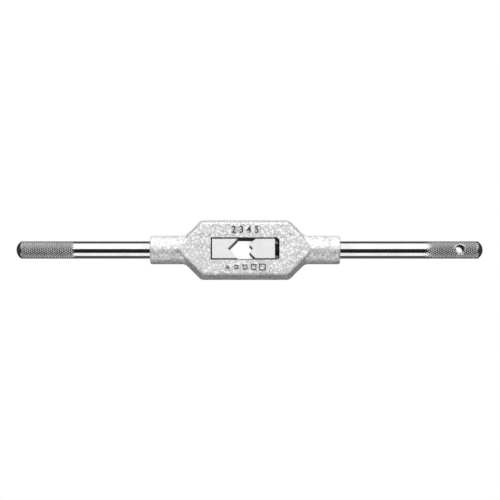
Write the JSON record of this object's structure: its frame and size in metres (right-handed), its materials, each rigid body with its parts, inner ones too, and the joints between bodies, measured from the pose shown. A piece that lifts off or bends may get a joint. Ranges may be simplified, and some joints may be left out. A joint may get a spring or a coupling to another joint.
{
  "type": "adjustable tap wrench",
  "caption": "Two-handed adjustable tap wrench: a cast frame with a window, a fixed and a sliding V jaw, and a knurled handle that is also the jaw's screw.",
  "frame": {"origin": "on the tap's axis, in the middle of the square opening at rest, at the handles' axis height", "axes": "+X along the wrench towards the adjusting handle, +Y across it, +Z out of the marked flat face, along the tap"},
  "size_m": [0.18, 0.0232, 0.0124],
  "materials": {
    "zinc_casting": "satin",
    "ground_steel": "satin",
    "plated_steel": "polished",
    "pin_steel": "satin"
  },
  "bodies": {
    "frame": {"frame_casting": "zinc_casting", "fixed_jaw": "ground_steel", "fixed_handle": "plated_steel"},
    "sliding_jaw": {"movable_jaw": "ground_steel", "jaw_pins": "pin_steel"},
    "screw_handle": {"adjusting_handle": "plated_steel"}
  },
  "joints": [
    {"name": "jaw_slide", "type": "slide", "parent": "frame", "child": "sliding_jaw", "axis": [1, 0, 0], "range_m": [-0.0066, 0.0009]},
    {"name": "handle_turn", "type": "hinge", "parent": "sliding_jaw", "child": "screw_handle", "pos_m": [0.05, 0, 0], "axis": [1, 0, 0], "range_deg": [-2377, 325]}
  ],
  "couplings": [
    {"joint": "handle_turn", "follows": "jaw_slide", "rad_per_m": 6283.2}
  ]
}
